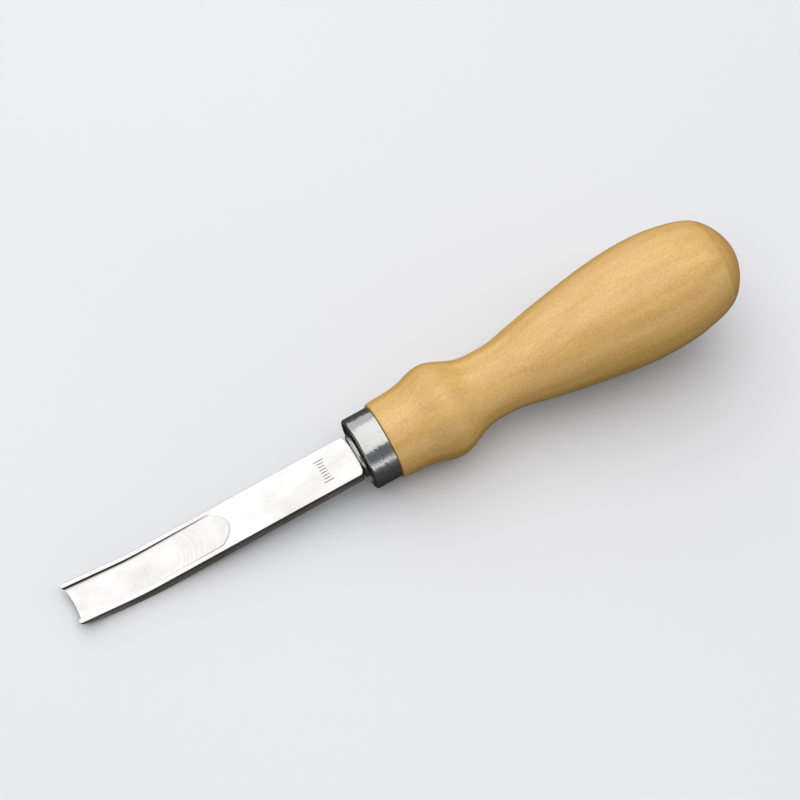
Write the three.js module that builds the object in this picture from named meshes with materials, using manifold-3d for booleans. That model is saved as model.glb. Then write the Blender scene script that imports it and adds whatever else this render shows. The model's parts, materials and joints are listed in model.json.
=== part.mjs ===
// Edge skiving gouge, 8 mm: a flat steel bar with a shallow channel ground into its top face,
// set in a turned wooden handle through a washer and a ferrule. All sizes are in millimetres.
//
// The tool is drawn along its own axis: x = 0 is the bar's shoulder, the cutting end points to -x,
// the handle to +x, and the bar's flat top faces +z. The finished tool lies at rest on z = 0, on the
// bar's underside and the handle's front bulge, with the origin under the middle of its bounding box.

import * as THREE from "three";
import { mergeVertices } from "three/addons/utils/BufferGeometryUtils.js";
import Module from "manifold-3d";

const wasm = await Module();
wasm.setup();

// ---------------------------------------------------------------- driving dimensions

const FIT_GAP = 0.3; // clearance between pieces that touch

const BAR = {
  length: 66, // shoulder to rail tips, along the bar
  width: 10,
  thickness: 3.0,
  cornerRadius: 1.0, // at the shoulder, seen from above
  shoulderRelief: 0.3, // how far the shoulder has stepped back at its corners
};

const BEND = {
  start: 18.5, // distance from the tip where the bar begins to turn up
  radius: 45,
  angle: THREE.MathUtils.degToRad(9),
};

const CHANNEL = {
  width: 8.0, // the tool's nominal cutting width
  depth: 1.2, // at the tip, on the centre line
  length: 36.5,
  crown: 0.2, // how much deeper the floor is in the middle than at its sides
};

// The underside's nose: control points of the sweep in which the bar thins towards the tip.
const NOSE = [
  { fromTip: 0, thickness: 0.3 },
  { fromTip: 0.6, thickness: 2.01 },
  { fromTip: 6, thickness: 2.61 },
  { fromTip: 20, thickness: BAR.thickness },
];

const TANG = { length: 34, rootWidth: 4.8, endWidth: 3.2, rootThickness: 2.6, endThickness: 1.8 };

const WASHER = { radius: 4.85, thickness: 0.7, edge: 0.12 };

const FERRULE = { radius: 8.05, wall: 0.85, front: 0.75, back: 6.5, lip: 0.45, edge: 0.1 };

const BORE = { radius: 3.9, depth: 38 };

// Handle profile stations: distance along the axis, radius, and slope of the outline there.
const HANDLE_SHOULDER = { x: FERRULE.back + FIT_GAP, r: 8.6, slope: 0.1 };
const HANDLE_STATIONS = [
  HANDLE_SHOULDER,
  { x: 16, r: 9.66, slope: 0.34 },
  { x: 20.2, r: 10.6, slope: 0 }, // front bulge
  { x: 26, r: 8.6, slope: -0.45 },
  { x: 33.3, r: 7.57, slope: 0 }, // waist
  { x: 42, r: 9.0, slope: 0.21 },
  { x: 50, r: 10.6, slope: 0.17 },
  { x: 71, r: 13.05, slope: 0 }, // belly
  { x: 80, r: 12.25, slope: -0.21 },
  { x: 86.5, r: 10.3, slope: -0.5 }, // soft corner of the butt
];
const HANDLE_EDGE = 0.3; // chamfer of the wood's front edge
const BUTT = {
  x: 92.3,
  crown: 4.4, // radius at which the end's outline starts to round over
  pull: 0.4, // how far the soft corner's slope carries on, as a share of the way to the end
};

// Straight steps that stand for each curve.
const STEPS = {
  around: 48,
  outline: 5,
  nose: 18,
  bend: 8,
  channelRun: 24,
  channelFloor: 8,
  corner: 6,
  lip: 4,
};

const OVERCUT = 4; // how far a cutting solid runs past the material
const PLAN_HEIGHT = 20; // height of the solid that trims the bar to its plan
const MERGE_DISTANCE = 1e-4;
const STEEPEST_TILT = THREE.MathUtils.degToRad(20);
const TILT_HALVINGS = 50;

// ---------------------------------------------------------------- materials

const polishedSteel = new THREE.MeshStandardMaterial({ color: 0xd9dadc, roughness: 0.22, metalness: 1 });
const brushedSteel = new THREE.MeshStandardMaterial({ color: 0xc4c6c8, roughness: 0.32, metalness: 1 });
const washerSteel = new THREE.MeshStandardMaterial({ color: 0xb5b6b6, roughness: 0.35, metalness: 1 });
const paleWood = new THREE.MeshStandardMaterial({ color: 0xd9ab68, roughness: 0.5, metalness: 0 });
const amberEpoxy = new THREE.MeshStandardMaterial({ color: 0xc9a24f, roughness: 0.4, metalness: 0 });

// ---------------------------------------------------------------- solids

function toSolid(geometry) {
  const bare = geometry.index ? geometry.toNonIndexed() : geometry.clone();
  bare.deleteAttribute("normal");
  bare.deleteAttribute("uv");
  const merged = mergeVertices(bare, MERGE_DISTANCE);
  const vertProperties = new Float32Array(merged.attributes.position.array);
  const triVerts = new Uint32Array(merged.index.array);
  return new wasm.Manifold(new wasm.Mesh({ numProp: 3, vertProperties, triVerts }));
}

function toGeometry(solid) {
  const { vertProperties, triVerts } = solid.getMesh();
  const geometry = new THREE.BufferGeometry();
  geometry.setAttribute("position", new THREE.BufferAttribute(vertProperties, 3));
  geometry.setIndex(new THREE.BufferAttribute(triVerts, 1));
  return geometry;
}

// Turns a closed outline of (radius, distance along x) points about the x axis.
function turned(points) {
  return new THREE.LatheGeometry(points, STEPS.around).rotateZ(-Math.PI / 2);
}

// A quarter round between a turned piece's front face and its outer face.
function frontRound(outer, front, radius) {
  const points = [];
  for (let i = 0; i <= STEPS.lip; i++) {
    const angle = (Math.PI / 2) * (i / STEPS.lip);
    const r = outer - radius * (1 - Math.sin(angle));
    const x = front + radius * (1 - Math.cos(angle));
    points.push(new THREE.Vector2(r, x));
  }
  return points;
}

// ---------------------------------------------------------------- the bar

// Place on the bar's side view: `d` along its middle line from the tip, `h` above that line.
function onBar(d, h) {
  const straightEnd = BEND.start - BAR.length;
  if (d >= BEND.start) {
    return new THREE.Vector2(d - BAR.length, h);
  }
  const angle = Math.min((BEND.start - d) / BEND.radius, BEND.angle);
  const pastBend = Math.max(BEND.start - d - BEND.radius * BEND.angle, 0);
  const reach = BEND.radius - h;
  return new THREE.Vector2(
    straightEnd - reach * Math.sin(angle) - pastBend * Math.cos(angle),
    BEND.radius - reach * Math.cos(angle) + pastBend * Math.sin(angle),
  );
}

// Distances from the tip at which the top's outline needs a point: its two ends and its bend.
function barStations() {
  const arc = BEND.radius * BEND.angle;
  const bend = Array.from({ length: STEPS.bend + 1 }, (_, i) => BEND.start - arc * (1 - i / STEPS.bend));
  return [0, ...bend, BAR.length];
}

const noseCurve = new THREE.CubicBezierCurve(
  ...NOSE.map(({ fromTip, thickness }) => new THREE.Vector2(fromTip, thickness)),
);

function barSide() {
  const top = BAR.thickness / 2;
  const upper = barStations().map((d) => onBar(d, top));
  const tang = [
    new THREE.Vector2(0, TANG.rootThickness / 2),
    new THREE.Vector2(TANG.length, TANG.endThickness / 2),
    new THREE.Vector2(TANG.length, -TANG.endThickness / 2),
    new THREE.Vector2(0, -TANG.rootThickness / 2),
    new THREE.Vector2(0, -top),
  ];
  const lower = noseCurve.getPoints(STEPS.nose).map((p) => onBar(p.x, top - p.y)).reverse();
  return new THREE.Shape([...upper, ...tang, ...lower]);
}

function barPlan() {
  const half = BAR.width / 2;
  const r = BAR.cornerRadius;
  const corner = -BAR.shoulderRelief - r;
  const beyondTip = -BAR.length - OVERCUT;
  const plan = new THREE.Shape();
  plan.moveTo(beyondTip, -half);
  plan.lineTo(corner, -half);
  plan.absarc(corner, -half + r, r, -Math.PI / 2, 0, false);
  plan.lineTo(0, -TANG.rootWidth / 2);
  plan.lineTo(TANG.length, -TANG.endWidth / 2);
  plan.lineTo(TANG.length, TANG.endWidth / 2);
  plan.lineTo(0, TANG.rootWidth / 2);
  plan.lineTo(-BAR.shoulderRelief, half - r);
  plan.absarc(corner, half - r, r, 0, Math.PI / 2, false);
  plan.lineTo(beyondTip, half);
  return plan;
}

// The ground channel: its cross-section, with a slightly hollow floor, swept along the floor's line,
// which rises to the top face like the run-out of a grinding wheel.
function channelCutter() {
  const half = CHANNEL.width / 2;
  const floorRadius = (half * half + CHANNEL.crown * CHANNEL.crown) / (2 * CHANNEL.crown);
  const spread = Math.asin(half / floorRadius);
  const section = new THREE.Shape();
  section.moveTo(-half, OVERCUT);
  section.lineTo(-half, CHANNEL.crown);
  section.absarc(0, floorRadius, floorRadius, -Math.PI / 2 - spread, -Math.PI / 2 + spread, false);
  section.lineTo(half, OVERCUT);

  const steps = STEPS.channelRun;
  const floor = [];
  for (let i = 0; i <= steps; i++) {
    const d = CHANNEL.length + OVERCUT - ((CHANNEL.length + 2 * OVERCUT) * i) / steps;
    const depth = CHANNEL.depth * (1 - (d / CHANNEL.length) * Math.abs(d / CHANNEL.length));
    const place = onBar(d, BAR.thickness / 2 - Math.min(depth, CHANNEL.depth));
    floor.push(new THREE.Vector3(place.x, 0, place.y));
  }
  const path = new THREE.CatmullRomCurve3(floor);
  return new THREE.ExtrudeGeometry(section, { steps, curveSegments: STEPS.channelFloor, extrudePath: path });
}

function blade() {
  const side = new THREE.ExtrudeGeometry(barSide(), { depth: BAR.width, bevelEnabled: false });
  side.rotateX(Math.PI / 2).translate(0, BAR.width / 2, 0);
  const planOptions = { depth: PLAN_HEIGHT, curveSegments: STEPS.corner, bevelEnabled: false };
  const plan = new THREE.ExtrudeGeometry(barPlan(), planOptions).translate(0, 0, -PLAN_HEIGHT / 2);
  const bar = toSolid(side).intersect(toSolid(plan));
  return toGeometry(bar.subtract(toSolid(channelCutter())));
}

// ---------------------------------------------------------------- the turned pieces

const tenonFace = 2 * FIT_GAP + WASHER.thickness; // front face of the wood, behind the washer

// A box from x = `from` to `to` that clears the tang all round.
function tangSlot(from, to) {
  const width = TANG.rootWidth + 2 * FIT_GAP;
  const height = TANG.rootThickness + 2 * FIT_GAP;
  return new THREE.BoxGeometry(to - from, width, height).translate((from + to) / 2, 0, 0);
}

function bolsterWasher() {
  const { radius, thickness, edge } = WASHER;
  const front = FIT_GAP;
  const back = front + thickness;
  const disc = turned([
    new THREE.Vector2(0, front),
    new THREE.Vector2(radius - edge, front),
    new THREE.Vector2(radius, front + edge),
    new THREE.Vector2(radius, back - edge),
    new THREE.Vector2(radius - edge, back),
    new THREE.Vector2(0, back),
  ]);
  return toGeometry(toSolid(disc).subtract(toSolid(tangSlot(-FIT_GAP, back + FIT_GAP))));
}

function ferrule() {
  const { radius, wall, front, back, lip, edge } = FERRULE;
  const inner = radius - wall;
  const points = [
    new THREE.Vector2(inner, front + edge),
    new THREE.Vector2(inner + edge, front),
    ...frontRound(radius, front, lip),
    new THREE.Vector2(radius, back - edge),
    new THREE.Vector2(radius - edge, back),
    new THREE.Vector2(inner, back),
  ];
  return turned([...points, points[0].clone()]);
}

function handleOutline() {
  const outline = new THREE.Path();
  outline.moveTo(HANDLE_SHOULDER.r, HANDLE_SHOULDER.x);
  for (let i = 1; i < HANDLE_STATIONS.length; i++) {
    const from = HANDLE_STATIONS[i - 1];
    const to = HANDLE_STATIONS[i];
    const pull = (to.x - from.x) / 3;
    outline.bezierCurveTo(
      from.r + from.slope * pull, from.x + pull,
      to.r - to.slope * pull, to.x - pull,
      to.r, to.x,
    );
  }
  const last = HANDLE_STATIONS.at(-1);
  const pull = BUTT.pull * (BUTT.x - last.x);
  outline.bezierCurveTo(last.r + last.slope * pull, last.x + pull, BUTT.crown, BUTT.x, 0, BUTT.x);
  return outline.getPoints(STEPS.outline);
}

function handle() {
  const tenonRadius = FERRULE.radius - FERRULE.wall - FIT_GAP;
  const points = [
    new THREE.Vector2(0, tenonFace + BORE.depth),
    new THREE.Vector2(BORE.radius, tenonFace + BORE.depth),
    new THREE.Vector2(BORE.radius, tenonFace),
    new THREE.Vector2(tenonRadius, tenonFace),
    new THREE.Vector2(tenonRadius, HANDLE_SHOULDER.x),
    new THREE.Vector2(HANDLE_SHOULDER.r - HANDLE_EDGE, HANDLE_SHOULDER.x),
    new THREE.Vector2(HANDLE_SHOULDER.r, HANDLE_SHOULDER.x + HANDLE_EDGE),
    ...handleOutline().slice(1),
  ];
  return turned(points);
}

// The glue bed fills the bore and leaves the tang's own shape free.
function tangAdhesive() {
  const front = tenonFace + FIT_GAP;
  const back = tenonFace + BORE.depth - FIT_GAP;
  const radius = BORE.radius - FIT_GAP;
  const plug = turned([
    new THREE.Vector2(0, front),
    new THREE.Vector2(radius, front),
    new THREE.Vector2(radius, back),
    new THREE.Vector2(0, back),
  ]);
  return toGeometry(toSolid(plug).subtract(toSolid(tangSlot(0, TANG.length + FIT_GAP))));
}

// ---------------------------------------------------------------- assembly

function piece(name, geometry, material) {
  const mesh = new THREE.Mesh(geometry, material);
  mesh.name = name;
  return mesh;
}

// Lowest point of a piece when the tool is tilted, butt up, by `tilt` radians.
function lowest(geometry, tilt) {
  const { array } = geometry.attributes.position;
  let low = Infinity;
  for (let i = 0; i < array.length; i += 3) {
    low = Math.min(low, array[i] * Math.sin(tilt) + array[i + 2] * Math.cos(tilt));
  }
  return low;
}

// The tilt at which the bar and the handle's front bulge both touch the surface, by bisection.
function restTilt(bar, grip) {
  let low = 0;
  let high = STEEPEST_TILT;
  for (let i = 0; i < TILT_HALVINGS; i++) {
    const middle = (low + high) / 2;
    if (lowest(grip, middle) < lowest(bar, middle)) {
      low = middle;
    } else {
      high = middle;
    }
  }
  return (low + high) / 2;
}

const bladeGeometry = blade();
const handleGeometry = handle();

const tool = new THREE.Group();
tool.add(
  piece("blade", bladeGeometry, polishedSteel),
  piece("bolster_washer", bolsterWasher(), washerSteel),
  piece("ferrule", ferrule(), brushedSteel),
  piece("handle", handleGeometry, paleWood),
  piece("tang_adhesive", tangAdhesive(), amberEpoxy),
);
tool.rotation.y = -restTilt(bladeGeometry, handleGeometry);

const gouge = new THREE.Group();
gouge.add(tool);
gouge.updateMatrixWorld(true);
const bounds = new THREE.Box3().setFromObject(gouge, true);
tool.position.set(-(bounds.min.x + bounds.max.x) / 2, -(bounds.min.y + bounds.max.y) / 2, -bounds.min.z);

export default gouge;
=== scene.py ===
import json
import math

import bmesh
import bpy
from mathutils import Matrix, Vector, noise


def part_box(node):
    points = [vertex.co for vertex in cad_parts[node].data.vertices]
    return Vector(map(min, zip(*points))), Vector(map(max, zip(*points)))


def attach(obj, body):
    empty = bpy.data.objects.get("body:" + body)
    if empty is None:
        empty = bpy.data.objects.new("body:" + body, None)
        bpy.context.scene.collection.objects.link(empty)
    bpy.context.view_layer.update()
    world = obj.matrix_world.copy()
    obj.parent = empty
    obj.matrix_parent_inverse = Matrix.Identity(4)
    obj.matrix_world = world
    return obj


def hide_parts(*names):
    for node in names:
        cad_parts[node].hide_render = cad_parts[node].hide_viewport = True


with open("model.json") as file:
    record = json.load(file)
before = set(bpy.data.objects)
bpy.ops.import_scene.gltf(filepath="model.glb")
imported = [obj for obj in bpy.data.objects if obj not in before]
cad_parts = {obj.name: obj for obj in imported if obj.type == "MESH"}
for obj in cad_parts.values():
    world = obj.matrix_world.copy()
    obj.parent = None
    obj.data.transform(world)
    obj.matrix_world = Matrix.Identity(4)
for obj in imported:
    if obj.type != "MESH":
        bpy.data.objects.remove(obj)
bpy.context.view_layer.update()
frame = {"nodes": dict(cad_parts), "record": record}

# The pieces are drawn in millimetres in the tool's own frame, as in the CAD source: x = 0 is the
# bar's shoulder, the cutting end points to -x, the handle to +x, and the bar's flat top faces +z.
MM = 0.001
HALF_PI = math.pi / 2

# ------------------------------------------------------------------ sizes, in millimetres

BAR_LENGTH = 66.0
BAR_HALF_WIDTH = 5.0
BAR_THICKNESS = 3.0
BAR_TOP = BAR_THICKNESS / 2
TOP_ROUND = 0.14  # rounding of the top edges
BOTTOM_ROUND = 0.34  # rounding of the bottom edges
BEND_START = 18.5
BEND_RADIUS = 45.0
BEND_ANGLE = math.radians(9)

CHANNEL_HALF_WIDTH = 4.0
CHANNEL_DEPTH = 1.2
CHANNEL_LENGTH = 36.5
CHANNEL_CROWN = 0.2
CHANNEL_FILLET = 0.14
RAIL_ROUND = 0.07

NOSE = ((0.0, 0.3), (0.6, 2.01), (6.0, 2.61), (20.0, 3.0))  # distance from tip, thickness
PRONG_ROUND = 0.4  # stretch over which a rail's end is rounded, seen from above

SHOULDER_FLAT = 2.1  # half width of the stretch that touches the washer
SHOULDER_RELIEF = 0.3  # how far the shoulder steps back beside it
SHOULDER_CORNER = 1.0
SHOULDER_EASE = 0.14  # extra run over which the relief is reached
SHOULDER_ZONE = 8.0  # stretch of bar whose mesh follows the shoulder's outline

TANG_LENGTH = 34.0
TANG_ROOT = (4.8, 2.6)
TANG_END = (3.2, 1.8)
TANG_INSIDE = 1.2  # how far the tang's mesh reaches into the bar, to be joined to it
TANG_POINT = dict(length=3.0, share=0.7)  # the last stretch, and how far it tapers
TANG_CLEARANCE = 0.12  # round the tang in the washer's slot

WASHER = dict(radius=4.85, front=0.03, back=0.68, edge=0.12)
FERRULE = dict(radius=8.05, inner=7.2, front=0.77, back=6.72, lip=0.45, edge=0.12)
BORE = dict(radius=3.9, depth=38.0)
TENON = dict(radius=7.12, front=1.3)

HANDLE_FRONT = 6.78
HANDLE_STATIONS = (  # distance along the axis, radius, slope of the outline
    (HANDLE_FRONT, 8.6, 0.1),
    (16.0, 9.66, 0.34),
    (20.2, 10.6, 0.0),
    (26.0, 8.6, -0.45),
    (33.3, 7.57, 0.0),
    (42.0, 9.0, 0.21),
    (50.0, 10.6, 0.17),
    (71.0, 13.05, 0.0),
    (80.0, 12.25, -0.21),
    (86.5, 10.3, -0.5),
)
CREASE = dict(x=87.2, width=0.45, depth=0.09, seed=4.2)  # soft turning mark near the butt
BUTT_END = 92.3
BUTT_CROWN = 4.4
BUTT_PULL = 0.4  # how far the corner's slope carries on, as a share of the way to the end
HANDLE_EDGE = 0.22  # rounding of the wood's front edge
ADHESIVE_CENTRE = 20.3  # middle of the glue bed along the axis


# ------------------------------------------------------------------ small helpers


def tool_matrix():
    """The tool's own frame in the row frame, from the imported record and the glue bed's box."""
    mounts = {m["name"]: m for m in frame["record"]["mounts"]}
    up = Vector(mounts["bar_top"]["axis"]).normalized()
    along = Vector((up.z, 0.0, -up.x))
    low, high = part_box("tang_adhesive")
    origin = (low + high) / 2 - along * ADHESIVE_CENTRE * MM
    columns = Matrix((along, Vector((0.0, 1.0, 0.0)), up)).transposed()
    return Matrix.Translation(origin) @ columns.to_4x4()


TOOL = tool_matrix()


def lerp(a, b, t):
    return a + (b - a) * t


def bezier(points, t):
    """Place at t on a cubic Bezier curve through two-number points."""
    weights = ((1 - t) ** 3, 3 * t * (1 - t) ** 2, 3 * t * t * (1 - t), t**3)
    return tuple(sum(w * p[k] for w, p in zip(weights, points)) for k in (0, 1))


def new_object(name, mesh):
    made = bpy.data.objects.new(name, mesh)
    bpy.context.scene.collection.objects.link(made)
    return made


def smooth_by_angle(mesh, limit):
    """Smooth shading, with edges sharper than limit degrees kept crisp."""
    bm = bmesh.new()
    bm.from_mesh(mesh)
    cosine = math.cos(math.radians(limit))
    for face in bm.faces:
        face.smooth = True
    for edge in bm.edges:
        if len(edge.link_faces) == 2:
            a, b = (f.normal for f in edge.link_faces)
            edge.smooth = a.dot(b) > cosine
    bm.to_mesh(mesh)
    bm.free()


def weighted_normals(obj):
    modifier = obj.modifiers.new("Normals", "WEIGHTED_NORMAL")
    modifier.keep_sharp = True
    modifier.weight = 80


def apply_modifiers(obj):
    graph = bpy.context.evaluated_depsgraph_get()
    mesh = bpy.data.meshes.new_from_object(obj.evaluated_get(graph))
    obj.modifiers.clear()
    obj.data = mesh


# ------------------------------------------------------------------ the bar


def on_bar(d, y, h):
    """A place on the bar: d along its middle line from the tip, y across, h above that line."""
    if d >= BEND_START:
        return Vector((d - BAR_LENGTH, y, h)) * MM
    angle = min((BEND_START - d) / BEND_RADIUS, BEND_ANGLE)
    past = max(BEND_START - d - BEND_RADIUS * BEND_ANGLE, 0.0)
    reach = BEND_RADIUS - h
    x = BEND_START - BAR_LENGTH - reach * math.sin(angle) - past * math.cos(angle)
    z = BEND_RADIUS - reach * math.cos(angle) + past * math.sin(angle)
    return Vector((x, y, z)) * MM


def nose_thickness(d):
    """Thickness of the bar below its top face, at distance d from the tip."""
    if d >= NOSE[-1][0]:
        return BAR_THICKNESS
    low, high = 0.0, 1.0
    for _ in range(40):
        middle = (low + high) / 2
        if bezier(NOSE, middle)[0] < d:
            low = middle
        else:
            high = middle
    return bezier(NOSE, low)[1]


def channel_depth(d):
    share = d / CHANNEL_LENGTH
    return max(CHANNEL_DEPTH * (1 - share * share), 0.0)


FLOOR_SHARES = (0.0, 0.16, 0.32, 0.47, 0.61, 0.74, 0.85, 0.93)
WALL_SHARES = (0.7, 0.48, 0.27)
QUARTER = (0.0, 0.5, 1.0)
RAIL_SHARES = (0.5, 1.0)
END_WIDTH = 0.2  # half width the channel's mesh columns keep at its run-out
WIDENING = 5.0  # stretch past the run-out over which they spread out again


def half_section(d):
    """(distance from the centre line, depth below the top face) across half of the top, at d."""
    depth = channel_depth(d)
    edge_depth = depth - CHANNEL_CROWN
    if edge_depth >= 0:
        edge = CHANNEL_HALF_WIDTH
    elif depth > 0:
        edge = max(CHANNEL_HALF_WIDTH * math.sqrt(depth / CHANNEL_CROWN), END_WIDTH)
    else:
        share = (d - CHANNEL_LENGTH) / WIDENING
        edge = min(lerp(END_WIDTH, CHANNEL_HALF_WIDTH, share), CHANNEL_HALF_WIDTH)
    wall = max(edge_depth, 0.0)
    fillet = min(CHANNEL_FILLET, wall * 0.45)
    round_over = min(RAIL_ROUND, wall * 0.3)

    def floor(y):
        return max(depth - CHANNEL_CROWN * (y / CHANNEL_HALF_WIDTH) ** 2, 0.0)

    points = [(share * (edge - fillet), floor(share * (edge - fillet))) for share in FLOOR_SHARES]
    for share in QUARTER:
        angle = share * HALF_PI
        y = edge - fillet + fillet * math.sin(angle)
        points.append((y, floor(edge - fillet) - fillet * (1 - math.cos(angle))))
    bottom, top = points[-1][1], round_over
    points += [(edge, lerp(top, bottom, share)) for share in WALL_SHARES]
    for share in QUARTER:
        angle = share * HALF_PI
        y = edge + round_over * (1 - math.cos(angle))
        points.append((y, round_over * (1 - math.sin(angle))))
    outer = BAR_HALF_WIDTH - top_round(d)
    points += [(lerp(edge + round_over, outer, share), 0.0) for share in RAIL_SHARES]
    return points


def top_round(d):
    return min(TOP_ROUND, 0.35 * nose_thickness(d))


def bottom_round(d):
    return min(BOTTOM_ROUND, 0.4 * nose_thickness(d))


def prong_round(d, y):
    """Draws a rail's end in to a rounded tip, seen from above."""
    if d >= PRONG_ROUND or abs(y) < CHANNEL_HALF_WIDTH - 0.01:
        return y
    share = math.sqrt(max(1 - (1 - d / PRONG_ROUND) ** 2, 0.0))
    middle = math.copysign((CHANNEL_HALF_WIDTH + BAR_HALF_WIDTH) / 2, y)
    return middle + (y - middle) * lerp(0.45, 1.0, share)


HALF_COLUMNS = len(half_section(0.0))
COLUMNS = 2 * HALF_COLUMNS - 1
STARTS_UNTIL = 6.0  # distance from the tip where the mesh rows are straight again


def column(index):
    """Side (-1 or 1) and place in half_section of one of the columns from -y to +y."""
    offset = index - (HALF_COLUMNS - 1)
    return (-1 if offset < 0 else 1), abs(offset)


def start_of(place):
    """Where a column of the top face begins: at the tip, or where the nose cuts through it."""
    if half_section(0.0)[place][1] <= nose_thickness(0.0):
        return 0.0
    low, high = 0.0, 4.0
    for _ in range(40):
        middle = (low + high) / 2
        if nose_thickness(middle) < half_section(middle)[place][1]:
            low = middle
        else:
            high = middle
    return (low + high) / 2


STARTS = [start_of(place) for place in range(HALF_COLUMNS)]
TIP_TRIM = (0.26, 0.034)  # the tip is ground back this far, and this much per mm towards -y


def tip_trim(y, distance):
    """How far the tip's uneven grinding moves a mesh point away from the tip."""
    fade = max(1 - distance / STARTS_UNTIL, 0.0)
    return (TIP_TRIM[0] - TIP_TRIM[1] * y) * fade


# The mesh rows along the bar: listed near the tip, then evenly spaced, then closer where the
# channel runs out, then wider apart towards the shoulder.
TIP_ROWS = (0.0, 0.05, 0.12, 0.22, 0.35, 0.55, 0.8, 1.1, 1.5, 2.0, 2.6, 3.3, 4.1, 5.0, 6.0)
ROW_STEP = 0.75
RUN_OUT = dict(length=4.0, rows=16, power=2)
PLAIN = dict(rows=14, power=1.4)


def row_distances():
    """Distances from the tip of the mesh rows, up to the zone that follows the shoulder."""
    rows = list(TIP_ROWS)
    while rows[-1] + ROW_STEP < CHANNEL_LENGTH - RUN_OUT["length"]:
        rows.append(rows[-1] + ROW_STEP)
    first, count = rows[-1], RUN_OUT["rows"]
    for i in range(count):
        share = 1 - (1 - (i + 1) / count) ** RUN_OUT["power"]
        rows.append(lerp(first, CHANNEL_LENGTH, share))
    last, count = BAR_LENGTH - SHOULDER_ZONE, PLAIN["rows"]
    for i in range(count):
        rows.append(lerp(CHANNEL_LENGTH, last, ((i + 1) / count) ** PLAIN["power"]))
    return rows


def shoulder_outline():
    """Half of the shoulder's outline, from the centre line to the side: (length, point, normal)."""
    side = BAR_HALF_WIDTH - SHOULDER_CORNER
    slope = math.atan2(SHOULDER_RELIEF, side - SHOULDER_FLAT + SHOULDER_EASE)
    centre = (-SHOULDER_RELIEF - SHOULDER_CORNER, side)
    run = [((0.0, y), (1.0, 0.0)) for y in (0.0, SHOULDER_FLAT * 0.5, SHOULDER_FLAT)]
    steps = 18
    for i in range(steps + 1):
        angle = lerp(slope, HALF_PI, i / steps)
        normal = (math.cos(angle), math.sin(angle))
        place = tuple(c + SHOULDER_CORNER * n for c, n in zip(centre, normal))
        run.append((place, normal))
    run.append(((-SHOULDER_ZONE, BAR_HALF_WIDTH), (0.0, 1.0)))
    lengths = [0.0]
    for (a, _), (b, _) in zip(run, run[1:]):
        lengths.append(lengths[-1] + math.dist(a, b))
    return [(length, *item) for length, item in zip(lengths, run)]


OUTLINE = shoulder_outline()
CORNER_LENGTH = OUTLINE[3][0] + SHOULDER_CORNER * 0.72  # where the mesh turns the corner
ZONE_ROWS = (0.0, 0.16, 0.32, 0.48, 0.62, 0.74, 0.84, 0.9, 0.94, 0.975, 1.0)


def outline_at(length):
    """Point and outward normal of the shoulder's outline at a length from the centre line."""
    for (s0, p0, n0), (s1, p1, n1) in zip(OUTLINE, OUTLINE[1:]):
        if length <= s1 or s1 == OUTLINE[-1][0]:
            t = (length - s0) / (s1 - s0)
            place = [lerp(a, b, t) for a, b in zip(p0, p1)]
            normal = Vector([lerp(a, b, t) for a, b in zip(n0, n1)]).normalized()
            return place, normal
    raise ValueError(length)


def edge_sample(length, side):
    """The outline at that length on one side of the bar, as (distance from tip, y), normal."""
    (x, y), normal = outline_at(abs(length))
    return Vector((x + BAR_LENGTH, side * y)), Vector((normal.x, side * normal.y))


def zone_point(row_share, across, ys, inset):
    """A mesh point of the shoulder zone, blended from the outline around it (a Coons patch)."""
    total = OUTLINE[-1][0]
    start = Vector((BAR_LENGTH - SHOULDER_ZONE, ys))

    def inner(length, side):
        place, normal = edge_sample(length, side)
        return place - normal * inset

    side_length = lerp(total, CORNER_LENGTH, row_share)
    far, near = inner(side_length, -1), inner(side_length, 1)
    v = (across + 1) / 2
    end = inner(abs(across) * CORNER_LENGTH, -1 if across < 0 else 1)
    corner_a, corner_b = inner(total, -1), inner(total, 1)
    corner_c, corner_d = inner(CORNER_LENGTH, -1), inner(CORNER_LENGTH, 1)
    u = row_share
    ruled = start * (1 - u) + end * u + far * (1 - v) + near * v
    back, front = corner_a * (1 - v) + corner_b * v, corner_c * (1 - v) + corner_d * v
    return ruled - (back * (1 - u) + front * u)


# The bottom skin's columns below the channel's wall, spread apart so that none coincide.
SPREAD = dict(columns=9, before_last=11, step=0.03, shift=0.12, fade=3)


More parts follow.
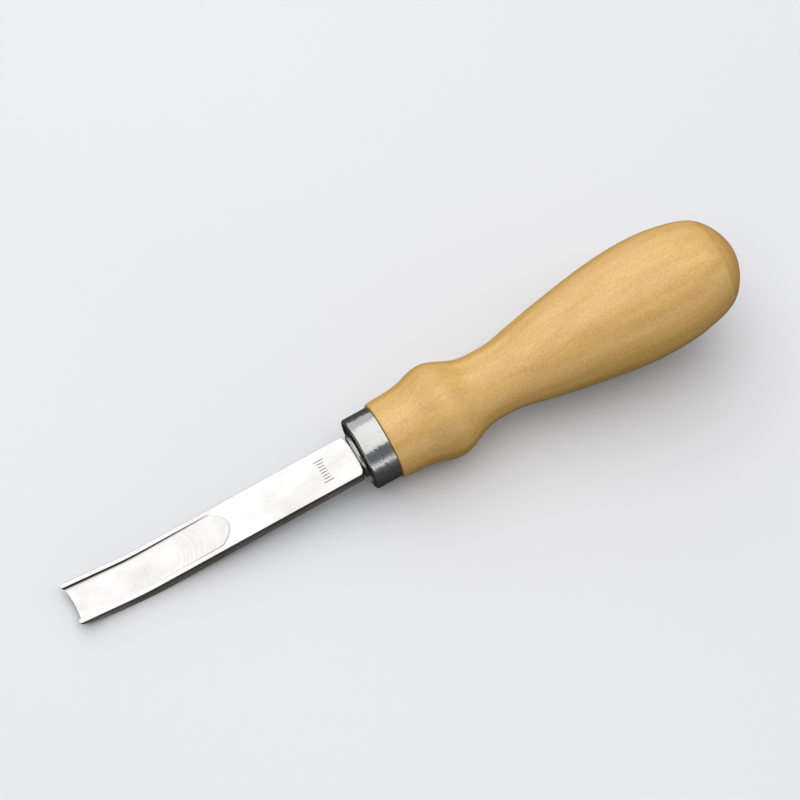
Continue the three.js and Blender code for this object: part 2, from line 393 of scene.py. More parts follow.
def bar_mesh():
    """The bar without its tang: a top and a bottom skin of the same rows and columns, joined by a
    rounded band round the outline, and closed at the two rail tips."""
    bm = bmesh.new()
    rows = row_distances()
    first = HALF_COLUMNS - SPREAD["before_last"]
    spread = {first + k: SPREAD["step"] * k - SPREAD["shift"] for k in range(SPREAD["columns"])}

    top, bottom = [], []
    for distance in rows:
        top_row, bottom_row = [], []
        for index in range(COLUMNS):
            side, place = column(index)
            start = STARTS[place]
            d = distance
            if distance < STARTS_UNTIL:
                d = start + distance * (STARTS_UNTIL - start) / STARTS_UNTIL
            y, depth = half_section(d)[place]
            trim = tip_trim(side * y, distance)
            y_top = prong_round(d, side * y)
            top_row.append(bm.verts.new(on_bar(d + trim, y_top, BAR_TOP - depth)))
            low = nose_thickness(d)
            if y > CHANNEL_HALF_WIDTH:
                width = BAR_HALF_WIDTH - CHANNEL_HALF_WIDTH
                y = CHANNEL_HALF_WIDTH + (y - CHANNEL_HALF_WIDTH) * (
                    (width - bottom_round(d)) / (width - top_round(d))
                )
            y += spread.get(place, 0.0) * min(distance / SPREAD["fade"], 1)
            y_bottom = prong_round(d, side * y)
            bottom_row.append(bm.verts.new(on_bar(d + trim, y_bottom, BAR_TOP - low)))
        top.append(top_row)
        bottom.append(bottom_row)

    last = half_section(rows[-1])
    for share in ZONE_ROWS[1:]:
        top_row, bottom_row = [], []
        for index in range(COLUMNS):
            side, place = column(index)
            y = side * last[place][0]
            across = y / last[-1][0]
            for skin, inset, h in (
                (top_row, TOP_ROUND, BAR_TOP),
                (bottom_row, BOTTOM_ROUND, -BAR_TOP),
            ):
                ys = across * (BAR_HALF_WIDTH - inset)
                flat = zone_point(share, across, ys, inset)
                skin.append(bm.verts.new(on_bar(flat.x, flat.y, h)))
        top.append(top_row)
        bottom.append(bottom_row)

    for skin, flip in ((top, False), (bottom, True)):
        for a, b in zip(skin, skin[1:]):
            for j in range(COLUMNS - 1):
                quad = [a[j], b[j], b[j + 1], a[j + 1]]
                bm.faces.new(quad[::-1] if flip else quad)

    rims = rim_samples(rows, last)
    bands = [rim_band(bm, sample, top, bottom) for sample in rims]
    for a, b in zip(bands, bands[1:]):
        for k in range(len(a) - 1):
            bm.faces.new([a[k], a[k + 1], b[k + 1], b[k]])

    bmesh.ops.remove_doubles(bm, verts=bm.verts, dist=1e-7)
    bmesh.ops.dissolve_degenerate(bm, edges=bm.edges, dist=1e-8)
    bmesh.ops.holes_fill(bm, edges=[e for e in bm.edges if e.is_boundary], sides=0)
    bmesh.ops.recalc_face_normals(bm, faces=bm.faces)
    mesh = bpy.data.meshes.new("bar")
    bm.to_mesh(mesh)
    bm.free()
    return mesh


def rim_samples(rows, last):
    """Places round the bar's outline: (row, column, point, normal, top and bottom rounding,
    thickness)."""
    total = len(rows) + len(ZONE_ROWS) - 1
    samples = []
    sides = {-1: [], 1: []}
    for side, index in ((-1, 0), (1, COLUMNS - 1)):
        for i, d in enumerate(rows):
            y = prong_round(d, side * BAR_HALF_WIDTH)
            place, normal = Vector((d + tip_trim(y, d), y)), Vector((0.0, side))
            rounds = top_round(d), bottom_round(d)
            sides[side].append((i, index, place, normal, *rounds, nose_thickness(d)))
        for k, share in enumerate(ZONE_ROWS[1:]):
            length = lerp(OUTLINE[-1][0], CORNER_LENGTH, share)
            place, normal = edge_sample(length, side)
            item = (len(rows) + k, index, place, normal, TOP_ROUND, BOTTOM_ROUND, BAR_THICKNESS)
            sides[side].append(item)
    samples += sides[-1]
    for index in range(1, COLUMNS - 1):
        side, place = column(index)
        across = last[place][0] / last[-1][0]
        spot, normal = edge_sample(across * CORNER_LENGTH, side)
        samples.append((total - 1, index, spot, normal, TOP_ROUND, BOTTOM_ROUND, BAR_THICKNESS))
    samples += sides[1][::-1]
    return samples


FLANK_SHARES = (0.12, 0.3, 0.5, 0.64, 0.76, 0.9)


def rim_band(bm, sample, top, bottom, steps=4):
    """The vertices down the rounded side of the bar at one place of its outline."""
    row, index, place, normal, upper, lower, thickness = sample
    band = [top[row][index]]
    for k in range(1, steps + 1):
        angle = k / steps * HALF_PI
        flat = place - normal * upper * (1 - math.sin(angle))
        band.append(bm.verts.new(on_bar(flat.x, flat.y, BAR_TOP - upper * (1 - math.cos(angle)))))
    for share in FLANK_SHARES:
        h = lerp(BAR_TOP - upper, BAR_TOP - thickness + lower, share)
        band.append(bm.verts.new(on_bar(place.x, place.y, h)))
    for k in range(0, steps):
        angle = k / steps * HALF_PI
        flat = place - normal * lower * (1 - math.cos(angle))
        h = BAR_TOP - thickness + lower * (1 - math.sin(angle))
        band.append(bm.verts.new(on_bar(flat.x, flat.y, h)))
    band.append(bottom[row][index])
    return band


def tang_mesh():
    """The tang, a four-sided taper that starts a little inside the bar."""
    bm = bmesh.new()
    corners = ((-1, -1), (1, -1), (1, 1), (-1, 1))
    rings = []
    for x in (-TANG_INSIDE, TANG_LENGTH - TANG_POINT["length"], TANG_LENGTH):
        share = max(x, 0.0) / TANG_LENGTH
        width = lerp(TANG_ROOT[0], TANG_END[0], share)
        height = lerp(TANG_ROOT[1], TANG_END[1], share)
        if x == TANG_LENGTH:
            width, height = width * TANG_POINT["share"], height * TANG_POINT["share"]
        places = [Vector((x, a * width / 2, b * height / 2)) for a, b in corners]
        rings.append([bm.verts.new(place * MM) for place in places])
    for a, b in zip(rings, rings[1:]):
        for k in range(4):
            bm.faces.new([a[k], a[(k + 1) % 4], b[(k + 1) % 4], b[k]])
    bm.faces.new(rings[0][::-1])
    bm.faces.new(rings[-1])
    bmesh.ops.recalc_face_normals(bm, faces=bm.faces)
    mesh = bpy.data.meshes.new("tang")
    bm.to_mesh(mesh)
    bm.free()
    return mesh


TICKS = 8
TICK = dict(x=-7.4, length=2.3, short=1.5, width=0.17, pitch=0.74, depth=0.1)
TICK_POINTS = 12  # round each stroke's outline
TICK_ABOVE = 0.5  # how far the cutters stand out of the top face


def tick_mesh():
    """Cutters for the row of plain engraved strokes near the shoulder."""
    bm = bmesh.new()
    for k in range(TICKS):
        y = (k - (TICKS - 1) / 2) * TICK["pitch"]
        length = TICK["length"] if k in (0, TICKS - 1) else TICK["short"]
        half, radius = length / 2 - TICK["width"] / 2, TICK["width"] / 2
        outline = []
        for i in range(TICK_POINTS):
            angle = math.tau * (i + 0.5) / TICK_POINTS
            shift = half if math.cos(angle) > 0 else -half
            px = TICK["x"] + shift + radius * math.cos(angle)
            outline.append((px, y + radius * math.sin(angle)))
        low = [bm.verts.new(Vector((px, py, BAR_TOP - TICK["depth"])) * MM) for px, py in outline]
        high = [bm.verts.new(Vector((px, py, BAR_TOP + TICK_ABOVE)) * MM) for px, py in outline]
        bm.faces.new(low[::-1])
        bm.faces.new(high)
        for i in range(TICK_POINTS):
            j = (i + 1) % TICK_POINTS
            bm.faces.new([low[i], low[j], high[j], high[i]])
    bmesh.ops.recalc_face_normals(bm, faces=bm.faces)
    mesh = bpy.data.meshes.new("ticks")
    bm.to_mesh(mesh)
    bm.free()
    return mesh


def cut(obj, operation, mesh):
    """Joins the mesh to the object, or cuts it out."""
    cutter = new_object("cutter", mesh)
    modifier = obj.modifiers.new("Cut", "BOOLEAN")
    modifier.operation = operation
    modifier.solver = "EXACT"
    modifier.object = cutter
    apply_modifiers(obj)
    bpy.data.objects.remove(cutter)


def make_blade():
    blade = new_object("blade_fine", bar_mesh())
    cut(blade, "UNION", tang_mesh())
    cut(blade, "DIFFERENCE", tick_mesh())
    smooth_by_angle(blade.data, 35)
    return blade


# ------------------------------------------------------------------ turned pieces


def quarter_turn(steps):
    return [HALF_PI * k / steps for k in range(steps + 1)]


def easing(size, angles):
    """How far a rounded edge of that size stands back at each angle, in its two directions."""
    return [(size * (1 - math.sin(a)), size * (1 - math.cos(a))) for a in angles]


def lathe(name, profile, segments, wobble=None):
    """Turns (x, radius) points about the x axis; wobble(x, radius, angle) moves them."""
    bm = bmesh.new()
    rings = []
    for x, radius in profile:
        if radius < 1e-6:
            rings.append([bm.verts.new(Vector((x, 0.0, 0.0)) * MM)])
            continue
        ring = []
        for i in range(segments):
            angle = math.tau * i / segments
            px, r = wobble(x, radius, angle) if wobble else (x, radius)
            ring.append(bm.verts.new(Vector((px, r * math.cos(angle), r * math.sin(angle))) * MM))
        rings.append(ring)
    pairs = list(zip(rings, rings[1:]))
    if len(rings[0]) > 1 and len(rings[-1]) > 1:
        pairs.append((rings[-1], rings[0]))
    for a, b in pairs:
        for i in range(segments):
            j = (i + 1) % segments
            if len(a) == 1:
                bm.faces.new([a[0], b[j], b[i]])
            elif len(b) == 1:
                bm.faces.new([a[i], a[j], b[0]])
            else:
                bm.faces.new([a[i], a[j], b[j], b[i]])
    bmesh.ops.recalc_face_normals(bm, faces=bm.faces)
    mesh = bpy.data.meshes.new(name)
    bm.to_mesh(mesh)
    bm.free()
    smooth_by_angle(mesh, 35)
    return new_object(name, mesh)


SLOT_REACH = 4.0  # length of the cutter of the washer's slot, along the axis


def make_washer():
    w = WASHER
    front, back, radius, edge = w["front"], w["back"], w["radius"], w["edge"]
    profile = [(front, 0.0)]
    profile += [(front + a, radius - b) for a, b in easing(edge, quarter_turn(4)[::-1])]
    profile += [(back - a, radius - b) for a, b in easing(edge, quarter_turn(4))]
    profile.append((back, 0.0))
    washer = lathe("washer_fine", profile, 128)
    bm = bmesh.new()
    width, height = (side + 2 * TANG_CLEARANCE for side in TANG_ROOT)
    size = Matrix.Diagonal((SLOT_REACH, width, height, 1.0))
    bmesh.ops.create_cube(bm, size=MM, matrix=size)
    mesh = bpy.data.meshes.new("slot")
    bm.to_mesh(mesh)
    bm.free()
    cut(washer, "DIFFERENCE", mesh)
    smooth_by_angle(washer.data, 35)
    return washer


FERRULE_WOBBLE = dict(along=0.35, around=2.2, depth=0.02)


def make_ferrule():
    f = FERRULE
    front, back, inner, radius = f["front"], f["back"], f["inner"], f["radius"]
    lip, edge = f["lip"], f["edge"]
    profile = [(front + edge, inner)]
    profile += [(front + a, inner + b) for a, b in easing(edge, quarter_turn(3)[1:])]
    profile += [(front + b, radius - a) for a, b in easing(lip, quarter_turn(8))]
    profile += [(lerp(front + lip, back - edge, k / 8), radius) for k in range(1, 8)]
    profile += [(back - a, radius - b) for a, b in easing(edge, quarter_turn(4))]
    profile.append((back, inner))

    def wobble(x, r, angle):
        w = FERRULE_WOBBLE
        if r < radius - w["depth"] or x < front + lip:
            return x, r
        around = math.cos(angle) * w["around"], math.sin(angle) * w["around"]
        return x, r + w["depth"] * noise.noise(Vector((x * w["along"], *around)))

    return lathe("ferrule_fine", profile, 192, wobble)


def handle_outline(steps=14):
    points = []
    for (x0, r0, k0), (x1, r1, k1) in zip(HANDLE_STATIONS, HANDLE_STATIONS[1:]):
        pull = (x1 - x0) / 3
        curve = ((x0, r0), (x0 + pull, r0 + k0 * pull), (x1 - pull, r1 - k1 * pull), (x1, r1))
        points += [bezier(curve, i / steps) for i in range(steps)]
    x, r, slope = HANDLE_STATIONS[-1]
    pull = BUTT_PULL * (BUTT_END - x)
    curve = ((x, r), (x + pull, r + slope * pull), (BUTT_END, BUTT_CROWN), (BUTT_END, 0.0))
    points += [bezier(curve, i / (3 * steps)) for i in range(3 * steps)]
    points.append((BUTT_END, 0.0))
    return points


HANDLE_WOBBLE = dict(along=0.06, around=0.9, depth=0.05, fade=4)
NICKS = dict(around=9, depth=0.06, seed=3.1)  # unevenness of the wood's front edge


def make_handle():
    edge, front_radius = HANDLE_EDGE, HANDLE_STATIONS[0][1]
    outline = handle_outline()
    eased = easing(edge, quarter_turn(4)[:0:-1])
    front = [(HANDLE_FRONT + a, front_radius - b) for a, b in eased]
    skin = [p for p in outline if p[0] > HANDLE_FRONT + edge]
    end = TENON["front"] + BORE["depth"]
    profile = [(end, 0.0), (end, BORE["radius"]), (TENON["front"], BORE["radius"])]
    profile += [(TENON["front"], TENON["radius"]), (HANDLE_FRONT, TENON["radius"])]
    profile += front + skin

    def wobble(x, radius, angle):
        if x < HANDLE_FRONT - 0.01 or radius < TENON["radius"] + 0.1:
            return x, radius
        w = HANDLE_WOBBLE
        cosine, sine = math.cos(angle), math.sin(angle)
        place = Vector((x * w["along"], cosine * w["around"], sine * w["around"]))
        r = radius + w["depth"] * noise.noise(place) * min(radius / w["fade"], 1)
        turn_mark = math.exp(-(((x - CREASE["x"]) / CREASE["width"]) ** 2))
        uneven = 0.6 + 0.4 * noise.noise(Vector((cosine, sine, CREASE["seed"])))
        r -= CREASE["depth"] * turn_mark * uneven
        if x < HANDLE_FRONT + edge + 0.05:
            around = cosine * NICKS["around"], sine * NICKS["around"]
            x += NICKS["depth"] * max(noise.noise(Vector((NICKS["seed"], *around))), 0.0)
        return x, r

    return lathe("handle_fine", profile, 192, wobble)


# ------------------------------------------------------------------ materials


class Nodes:
    """A small helper to build a node material."""

    def __init__(self, name):
        self.material = bpy.data.materials.new(name)
        self.material.use_nodes = True
        self.tree = self.material.node_tree
        self.shader = self.tree.nodes["Principled BSDF"]
        turned_back = self.add("ShaderNodeMapping", vector_type="TEXTURE")
        turned_back.inputs["Location"].default_value = TOOL.translation
        turned_back.inputs["Rotation"].default_value = TOOL.to_euler()
        self.link(self.add("ShaderNodeTexCoord").outputs["Object"], turned_back.inputs["Vector"])
        self.place = turned_back.outputs["Vector"]

    def add(self, kind, **values):
        node = self.tree.nodes.new(kind)
        for key, value in values.items():
            if key.startswith("in_"):
                node.inputs[int(key[3:])].default_value = value
            else:
                setattr(node, key, value)
        return node

    def link(self, source, target):
        self.tree.links.new(source, target)

    def set(self, **values):
        for key, value in values.items():
            self.shader.inputs[key.replace("_", " ")].default_value = value

    def mapped(self, scale, rotation=(0, 0, 0), location=(0, 0, 0)):
        node = self.add("ShaderNodeMapping")
        node.inputs["Location"].default_value = location
        node.inputs["Rotation"].default_value = rotation
        node.inputs["Scale"].default_value = scale
        self.link(self.place, node.inputs["Vector"])
        return node.outputs["Vector"]

    def noise(self, vector, scale, detail=3.0, rough=0.5, distortion=0.0):
        node = self.add("ShaderNodeTexNoise")
        values = dict(Scale=scale, Detail=detail, Roughness=rough, Distortion=distortion)
        for key, value in values.items():
            node.inputs[key].default_value = value
        self.link(vector, node.inputs["Vector"])
        return node.outputs["Fac"]

    def ramp(self, factor, *stops):
        node = self.add("ShaderNodeValToRGB")
        ramp = node.color_ramp
        while len(ramp.elements) < len(stops):
            ramp.elements.new(0.5)
        for element, (position, colour) in zip(ramp.elements, stops):
            element.position = position
            element.color = (*colour, 1.0) if len(colour) == 3 else colour
        self.link(factor, node.inputs["Fac"])
        return node.outputs["Color"]

    def range(self, value, low, high, to_low, to_high):
        node = self.add("ShaderNodeMapRange")
        for index, number in enumerate((low, high, to_low, to_high), start=1):
            node.inputs[index].default_value = number
        self.link(value, node.inputs[0])
        return node.outputs[0]

    def math(self, operation, a, b=None):
        node = self.add("ShaderNodeMath", operation=operation)
        for socket, value in zip(node.inputs, (a, b)):
            if value is None:
                continue
            if isinstance(value, (int, float)):
                socket.default_value = value
            else:
                self.link(value, socket)
        return node.outputs[0]

    def mix(self, factor, a, b, blend="MIX"):
        node = self.add("ShaderNodeMix", data_type="RGBA", blend_type=blend)
        for socket, value in ((node.inputs[0], factor), (node.inputs[6], a), (node.inputs[7], b)):
            if isinstance(value, (int, float)):
                socket.default_value = value
            elif isinstance(value, tuple):
                socket.default_value = (*value, 1.0)
            else:
                self.link(value, socket)
        return node.outputs[2]

    def bump(self, height, strength, distance, normal=None):
        node = self.add("ShaderNodeBump")
        node.inputs["Strength"].default_value = strength
        node.inputs["Distance"].default_value = distance
        self.link(height, node.inputs["Height"])
        if normal:
            self.link(normal, node.inputs["Normal"])
        return node.outputs["Normal"]


# Where the handle's painted marks begin and end, in metres along the axis; the last is across it.
# They carry painted shade at the butt's end grain, in the crease and in the socket, and a painted
# highlight with the bare wood at the front edge.
END_GRAIN_AND_SHADE = (0.0862, 0.0885)
CREASE_SHADE_RISE, CREASE_SHADE_FALL = (0.0860, 0.0870), (0.0870, 0.0882)
SOCKET_SHADE = (0.0062, 0.0068)
BARE_HIGHLIGHT_EDGE, BARE_HIGHLIGHT_SIDE = (0.0070, 0.0074), (0.0062, 0.0083)
WHITE = (1.0, 1.0, 1.0)


def wood():
    n = Nodes("handle_wood")
    grain = n.mapped((0.055, 1.0, 1.0), rotation=(0.2, 0.03, 0.04))
    rings = n.add("ShaderNodeTexWave", wave_type="RINGS", rings_direction="X")
    for key, value in (
        ("Scale", 95.0),
        ("Distortion", 5.0),
        ("Detail", 3.0),
        ("Detail Scale", 1.4),
        ("Detail Roughness", 0.6),
    ):
        rings.inputs[key].default_value = value
    offset = n.mapped((0.07, 1.0, 1.0), rotation=(0.3, 0.05, 0.06), location=(0.0, 0.021, -0.034))
    n.link(offset, rings.inputs["Vector"])
    streaks = n.noise(grain, 420.0, 6.0, 0.62)
    fibres = n.noise(n.mapped((0.12, 1.0, 1.0)), 2600.0, 3.0, 0.6)
    mottle = n.noise(n.place, 2300.0, 4.0, 0.7)
    patches = n.noise(n.mapped((0.45, 1.0, 1.0)), 75.0, 3.0, 0.55)

    base = n.ramp(
        streaks,
        (0.28, (0.64, 0.36, 0.070)),
        (0.52, (0.73, 0.438, 0.098)),
        (0.78, (0.81, 0.52, 0.145)),
    )
    lines = n.ramp(
        rings.outputs["Fac"], (0.0, (0.93, 0.90, 0.86)), (0.55, WHITE), (1.0, (1.02, 1.02, 1.02))
    )
    colour = n.mix(0.75, base, lines, "MULTIPLY")
    warm = n.range(patches, 0.45, 0.68, 0.0, 0.5)
    colour = n.mix(warm, colour, (0.81, 0.475, 0.165))
    fine = n.ramp(mottle, (0.32, (0.78, 0.74, 0.62)), (0.52, WHITE), (0.7, (1.1, 1.13, 1.22)))
    colour = n.mix(0.8, colour, fine, "MULTIPLY")
    thread = n.ramp(fibres, (0.35, (0.93, 0.915, 0.89)), (0.6, WHITE))
    colour = n.mix(0.7, colour, thread, "MULTIPLY")
    split = n.add("ShaderNodeSeparateXYZ")
    n.link(n.place, split.inputs[0])
    along = split.outputs["X"]
    ragged = n.math("ADD", along, n.range(patches, 0.3, 0.7, -0.0006, 0.0006))
    # Painted shade: the butt's end is darker and more orange, partly the end grain's own tone and
    # partly the shade of the end turned away from the light.
    end_grain_and_shade = n.range(ragged, *END_GRAIN_AND_SHADE, 0.0, 0.6)
    colour = n.mix(end_grain_and_shade, colour, (0.63, 0.33, 0.075))
    # Painted shade: a dark, uneven ring in the turning crease near the butt.
    rise, fall = n.range(ragged, *CREASE_SHADE_RISE, 0.0, 1.0), n.range(ragged, *CREASE_SHADE_FALL, 1.0, 0.0)
    crease_shade = n.math("MULTIPLY", rise, fall)
    crease_shade = n.math("MULTIPLY", crease_shade, n.range(streaks, 0.35, 0.65, 0.1, 0.5))
    colour = n.mix(crease_shade, colour, (0.38, 0.19, 0.045))
    # Painted highlight: the front edge is lighter on the far side only, bare wood that also stands
    # for the light the edge catches.
    far_side = n.range(split.outputs["Y"], *BARE_HIGHLIGHT_SIDE, 0.0, 0.9)
    bare_and_highlight = n.math("MULTIPLY", n.range(along, *BARE_HIGHLIGHT_EDGE, 1.0, 0.0), far_side)
    colour = n.mix(bare_and_highlight, colour, (0.92, 0.72, 0.42))
    # Painted shade: the tenon's face and the wood inside the ferrule are near black, the shade in
    # the socket between the parts.
    socket_shade = n.range(along, *SOCKET_SHADE, 1.0, 0.0)
    colour = n.mix(socket_shade, colour, (0.055, 0.03, 0.015))
    n.link(colour, n.shader.inputs["Base Color"])
    n.link(n.range(streaks, 0.3, 0.7, 0.5, 0.4), n.shader.inputs["Roughness"])
    height = n.math("ADD", n.math("MULTIPLY", streaks, 0.5), n.math("MULTIPLY", fibres, 0.5))
    n.link(n.bump(height, 0.3, 0.00006), n.shader.inputs["Normal"])
    n.set(Specular_IOR_Level=1.0, Coat_Weight=0.2, Coat_Roughness=0.35)
    return n.material


DULLING = 0.18  # how much darker the duller patches of a metal are
STAIN = 0.35  # share of the metal's colour left in a spot


def steel(name, colour, roughness, scratch, scratch_scale, stretch, spots=0.0, dents=0.0):
    """Metal with fine directional scratches, slow changes of gloss and a few worn spots."""
    n = Nodes(name)
    slow = n.noise(n.mapped((0.5, 1.0, 1.0)), 160.0, 3.0, 0.6)
    lines = n.noise(n.mapped(stretch), scratch_scale, 4.0, 0.7)
    cross = n.noise(n.mapped(stretch, rotation=(0.4, 0.3, 0.6)), scratch_scale * 0.6, 3.0, 0.7)
    dark = tuple(c * (1 - DULLING) for c in colour)
    tint = n.ramp(slow, (0.3, dark), (0.6, colour))
    if spots:
        flecks = n.noise(n.place, 900.0, 4.0, 0.7)
        stain = tuple(c * STAIN for c in colour)
        tint = n.mix(n.range(flecks, 0.62, 0.75, 0.0, spots), tint, stain)
    n.link(tint, n.shader.inputs["Base Color"])
    low, high = roughness
    rough = n.math("ADD", n.range(slow, 0.3, 0.7, low, high), n.range(lines, 0.3, 0.8, -0.04, 0.08))
    n.link(rough, n.shader.inputs["Roughness"])
    height = n.math("ADD", lines, n.math("MULTIPLY", cross, 0.5))
    normal = n.bump(height, scratch, 0.00002)
    if dents:
        marks = n.noise(n.mapped((1.0, 0.3, 0.4), rotation=(0.5, 0.0, 0.6)), 650.0, 4.0, 0.6)
        normal = n.bump(marks, dents, 0.0003, normal)
    n.link(normal, n.shader.inputs["Normal"])
    n.set(Metallic=1.0)
    return n.material


CUTTER_RADIUS = 0.0055  # of the curved grinding marks, in metres
# Painted shade: this near-black colour is painted along the channel's walls and round its run-out.
SHADE_LINE = (0.12, 0.115, 0.11)  # along the channel's walls and its outline


def ground_channel():
    """The channel floor: polished, with faint curved marks left by the round cutter. The marks are
    painted darker towards -y, the run-out's outline is painted dark, more so towards -y, and a dark
    line runs beside the walls: all painted shade, which does not follow the light."""
    n = Nodes("steel_channel")
    split = n.add("ShaderNodeSeparateXYZ")
    n.link(n.place, split.inputs[0])
    x, y = split.outputs["X"], split.outputs["Y"]
    squared = n.math("SUBTRACT", CUTTER_RADIUS * CUTTER_RADIUS, n.math("MULTIPLY", y, y))
    sagitta = n.math("SQRT", squared)
    phase = n.math("SUBTRACT", x, sagitta)
    wobble = n.math("MULTIPLY", n.noise(n.place, 300.0, 2.0, 0.5), 0.0004)
    join = n.add("ShaderNodeCombineXYZ")
    n.link(n.math("ADD", phase, wobble), join.inputs[0])
    marks = n.noise(join.outputs[0], 1500.0, 4.0, 0.75)
    slow = n.noise(n.mapped((0.6, 1.0, 1.0)), 180.0, 3.0, 0.5)
    run = n.math("DIVIDE", n.math("ADD", x, BAR_LENGTH * MM), CHANNEL_LENGTH * MM)
    near_side = n.range(y, -0.0042, 0.003, 1.0, 0.0)
    plain = n.ramp(slow, (0.35, (0.50, 0.495, 0.485)), (0.62, (0.63, 0.62, 0.61)))
    marked = n.ramp(marks, (0.3, (0.42, 0.415, 0.41)), (0.62, (0.60, 0.595, 0.585)))
    # Painted shade: the cutter marks show darker and stronger towards -y.
    shade_to_near_side = n.range(y, -0.004, 0.004, 1.0, 0.35)
    marks_and_shade = n.math("MULTIPLY", n.range(run, 0.25, 0.85, 0.1, 0.75), shade_to_near_side)
    tint = n.mix(marks_and_shade, plain, marked)
    # Painted shade: a dark line on the floor beside both walls.
    wall_shade = n.range(n.math("ABSOLUTE", y), 0.0036, 0.00395, 0.0, 0.75)
    tint = n.mix(wall_shade, tint, SHADE_LINE)
    deep = n.math("MULTIPLY", n.math("SUBTRACT", 1.0, n.math("MULTIPLY", run, run)), CHANNEL_DEPTH)
    across = n.math("DIVIDE", y, CHANNEL_HALF_WIDTH * MM)
    crown = n.math("MULTIPLY", n.math("MULTIPLY", across, across), CHANNEL_CROWN)
    shallow = n.range(n.math("SUBTRACT", deep, crown), 0.0, 0.045, 0.75, 0.0)
    # Painted shade: the run-out's outline is dark, more so towards -y.
    outline = n.math("MULTIPLY", shallow, n.math("ADD", near_side, 0.06))
    tint = n.mix(outline, tint, SHADE_LINE)
    n.link(tint, n.shader.inputs["Base Color"])
    n.link(n.range(slow, 0.3, 0.7, 0.16, 0.26), n.shader.inputs["Roughness"])
    n.link(n.bump(marks, 0.08, 0.00002), n.shader.inputs["Normal"])
    n.set(Metallic=1.0)
    return n.material


def epoxy():
    n = Nodes("epoxy_amber")
    swirl = n.noise(n.place, 260.0, 4.0, 0.6, 0.8)
    amber = n.ramp(swirl, (0.35, (0.38, 0.2, 0.05)), (0.65, (0.62, 0.38, 0.12)))
    n.link(amber, n.shader.inputs["Base Color"])
    n.link(n.range(swirl, 0.3, 0.7, 0.2, 0.4), n.shader.inputs["Roughness"])
    n.link(n.bump(swirl, 0.3, 0.0001), n.shader.inputs["Normal"])
    return n.material


def bar_place(point):
    """The inverse of on_bar: distance from the tip and height above the middle line."""
    x, z = point.x / MM, point.z / MM
    before = BEND_START - BAR_LENGTH - x
    if before <= 0:
        return BAR_LENGTH + x, z
    rise = BEND_RADIUS - z
    angle = math.atan2(before, rise)
    if angle <= BEND_ANGLE:
        return BEND_START - BEND_RADIUS * angle, BEND_RADIUS - math.hypot(before, rise)
    past = before * math.cos(BEND_ANGLE) - rise * math.sin(BEND_ANGLE)
    height = BEND_RADIUS - before * math.sin(BEND_ANGLE) - rise * math.cos(BEND_ANGLE)
    return BEND_START - BEND_RADIUS * BEND_ANGLE - past, height


# Painted reflection: the flank's light line.
FLANK_REFLECTION = (0.6, 0.72)  # the flank's light line, as shares of the way down from the top
# Painted shade: the flank's dark band under the top edge.
FLANK_SHADE = 0.2  # the flank is dark down to this share
TICK_FLOOR = 0.02  # faces this far below the top are in a stroke


def paint_blade(obj):
    """Gives the blade's faces their finish: polished top, ground channel, darker flanks. The
    flanks' dark band is painted shade and their light line a painted reflection, and the channel's
    walls and engraved strokes get a near-black steel as painted shade; none of these follow the
    light."""
    along = (0.06, 1.0, 1.0)
    materials = (
        steel("steel_polished", (0.62, 0.61, 0.60), (0.10, 0.2), 0.1, 1400.0, along),
        ground_channel(),
        steel("steel_flank", (0.55, 0.50, 0.45), (0.34, 0.5), 0.3, 1100.0, along, 0.35),
        steel("steel_flank_dark", (0.09, 0.08, 0.075), (0.3, 0.45), 0.3, 1100.0, along, 0.2),
        steel("steel_flank_line", (0.95, 0.9, 0.84), (0.4, 0.55), 0.3, 1100.0, along, 0.4),
        # Painted shade: a near-black copy of the steel for the channel's walls and the engraved
        # strokes.
        steel("steel_wall_shade", (0.14, 0.135, 0.13), (0.3, 0.4), 0.2, 1100.0, along),
    )
    for material in materials:
        obj.data.materials.append(material)
    top, channel, flank, flank_shade, flank_reflection, wall = range(6)
    inner = (CHANNEL_HALF_WIDTH + 0.02) * MM
    tick_reach = (TICKS * TICK["pitch"] / 2) * MM
    for face in obj.data.polygons:
        centre, normal = face.center, face.normal
        d, height = bar_place(centre)
        above = normal.z > -0.2 and height > -BAR_TOP + 0.05
        if abs(centre.y) < inner and d < CHANNEL_LENGTH + 0.05 and above:
            crown = CHANNEL_CROWN * (centre.y / MM / CHANNEL_HALF_WIDTH) ** 2
            on_floor = channel_depth(d) - crown > 0.0
            face.material_index = (channel if normal.z > 0.5 else wall) if on_floor else top
        elif normal.z > 0.45:
            # Painted shade: the engraved strokes get the near-black wall steel.
            engraved = abs(centre.y) < tick_reach and height < BAR_TOP - TICK_FLOOR
            face.material_index = wall if engraved else top
        elif abs(normal.y) > 0.6:
            share = (BAR_TOP - height) / nose_thickness(min(max(d, 0.0), BAR_LENGTH))
            # Painted shade in the flank's upper band, a painted reflection line lower down.
            if share < FLANK_SHADE:
                face.material_index = flank_shade
            else:
                on_reflection = FLANK_REFLECTION[0] < share < FLANK_REFLECTION[1]
                face.material_index = flank_reflection if on_reflection else flank
        else:
            face.material_index = flank


# ------------------------------------------------------------------ pieces

blade = make_blade()
paint_blade(blade)
weighted_normals(blade)
washer = make_washer()
washer.data.materials.append(
    steel("steel_washer", (0.52, 0.52, 0.50), (0.2, 0.34), 0.25, 1500.0, (1.0, 1.0, 1.0), 0.3)
)
ferrule = make_ferrule()
ferrule.data.materials.append(
    steel(
        "steel_ferrule",
        colour=(0.50, 0.495, 0.485),
        roughness=(0.13, 0.25),
        scratch=1.0,
        scratch_scale=1300.0,
        stretch=(1.0, 0.3, 0.3),
        spots=0.6,
        dents=0.6,
    )
)
handle = make_handle()
handle.data.materials.append(wood())
for obj in (washer, ferrule, handle):
    weighted_normals(obj)

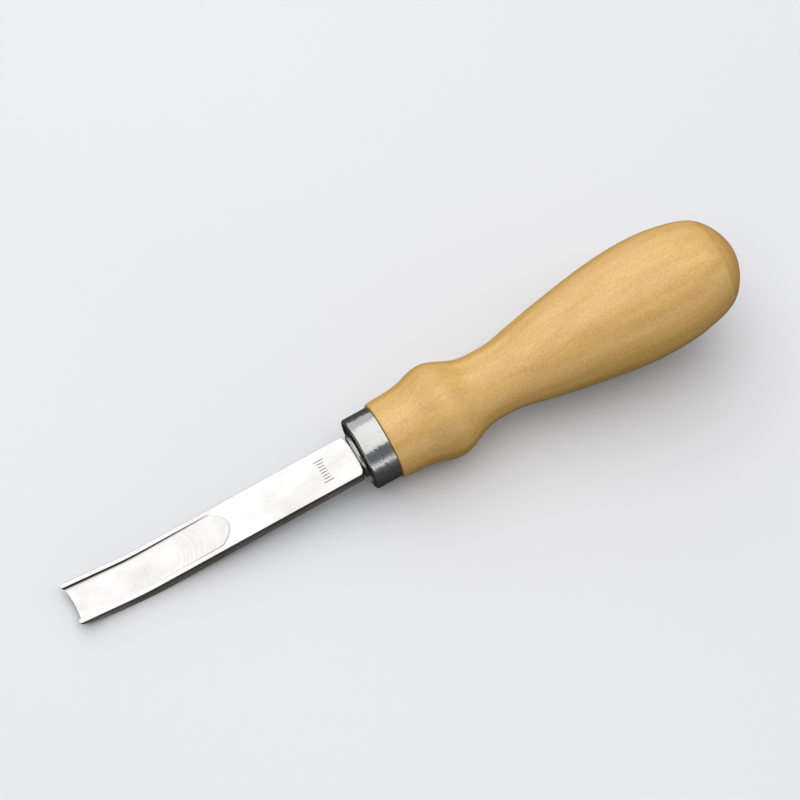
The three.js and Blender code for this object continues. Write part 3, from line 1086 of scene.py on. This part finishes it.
for obj, node, slot in (
    (blade, "blade", "blade_steel"),
    (washer, "bolster_washer", "washer_steel"),
    (ferrule, "ferrule", "ferrule_steel"),
    (handle, "handle", "handle_wood"),
):
    obj.data.transform(TOOL)
    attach(obj, "root")
    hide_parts(node)

glue = frame["nodes"]["tang_adhesive"]
glue.data.materials.clear()
glue.data.materials.append(epoxy())

# ------------------------------------------------------------------ floor, lights, camera

# The floor is pale as the camera sees it and dark as the steel reflects it, and its far part glows
# for the camera, so that the horizon is not dark.
FLOOR_HALF = 3.0
FLOOR_REFLECTED = (0.06, 0.058, 0.06)
FLOOR_GLOW = (0.35, 2.6, 0.0, 0.8)  # from and to this distance in metres, from and to this strength
floor_mesh = bpy.data.meshes.new("floor")
corners = [(FLOOR_HALF * a, FLOOR_HALF * b, 0) for a, b in ((-1, -1), (1, -1), (1, 1), (-1, 1))]
floor_mesh.from_pydata(corners, [], [(0, 1, 2, 3)])
floor = new_object("floor", floor_mesh)
floor_nodes = Nodes("floor_pale")
tone = floor_nodes.noise(floor_nodes.place, 3.0, 2.0, 0.5)
pale = floor_nodes.ramp(tone, (0.3, (0.76, 0.76, 0.77)), (0.7, (0.79, 0.79, 0.80)))
seen = floor_nodes.add("ShaderNodeLightPath").outputs["Is Camera Ray"]
base_colour = floor_nodes.mix(seen, FLOOR_REFLECTED, pale)
floor_nodes.link(base_colour, floor_nodes.shader.inputs["Base Color"])
reach = floor_nodes.add("ShaderNodeVectorMath", operation="LENGTH")
floor_nodes.link(floor_nodes.place, reach.inputs[0])
glow = floor_nodes.math("MULTIPLY", floor_nodes.range(reach.outputs["Value"], *FLOOR_GLOW), seen)
floor_nodes.link(glow, floor_nodes.shader.inputs["Emission Strength"])
floor_nodes.set(Roughness=0.85, Emission_Color=(0.95, 0.96, 1.0, 1.0))
floor.data.materials.append(floor_nodes.material)

world = bpy.data.worlds.new("studio")
bpy.context.scene.world = world
world.use_nodes = True
background = world.node_tree.nodes["Background"]
background.inputs["Color"].default_value = (0.9, 0.93, 1.0, 1.0)
background.inputs["Strength"].default_value = 0.26
bpy.context.scene.view_settings.view_transform = "Standard"


def softbox(name, place, aim, size, watts):
    """A soft area light, in metres and watts. The camera does not see the lights themselves."""
    data = bpy.data.lights.new(name, "AREA")
    data.shape = "RECTANGLE"
    data.size, data.size_y = size
    data.energy = watts
    light = new_object(name, data)
    light.visible_camera = False
    light.location = place
    light.rotation_mode = "QUATERNION"
    light.rotation_quaternion = (Vector(aim) - Vector(place)).to_track_quat("-Z", "Y")


softbox("key", (0.0, 0.2, 0.62), (0.0, 0.2, 0.0), (1.1, 1.15), 5.9)
softbox("front_strip", (0.0, -1.8, 0.234), (0.0, 0.0, 0.02), (4.4, 0.54), 8.2)
softbox("back_card", (0.0, 2.2, 0.84), (0.0, 0.0, 0.2), (3.5, 1.58), 13.6)
softbox("right_card", (1.7, -0.8, 0.62), (0.0, 0.0, 0.05), (2.0, 0.95), 3.0)
softbox("left_card", (-1.7, -0.8, 0.62), (0.0, 0.0, 0.05), (2.0, 0.95), 3.0)

CAMERA_AZIMUTH, CAMERA_ELEVATION = math.radians(-28.73), math.radians(58.45)
CAMERA_TARGET = Vector((1.10, 6.60, 10.0)) * MM
CAMERA_DISTANCE = 0.3891
SENSOR_MM = 36.0
FOCAL_PIXELS, IMAGE_PIXELS = 1850.0, 800.0

camera_data = bpy.data.cameras.new("camera")
camera_data.sensor_width = SENSOR_MM
camera_data.lens = SENSOR_MM * FOCAL_PIXELS / IMAGE_PIXELS
camera = new_object("camera", camera_data)
towards = Vector(
    (
        math.sin(CAMERA_AZIMUTH) * math.cos(CAMERA_ELEVATION),
        -math.cos(CAMERA_AZIMUTH) * math.cos(CAMERA_ELEVATION),
        math.sin(CAMERA_ELEVATION),
    )
)
camera.location = CAMERA_TARGET + towards * CAMERA_DISTANCE
camera.rotation_mode = "QUATERNION"
camera.rotation_quaternion = (-towards).to_track_quat("-Z", "Y")
camera_data.clip_start, camera_data.clip_end = 0.01, 20.0
bpy.context.scene.camera = camera
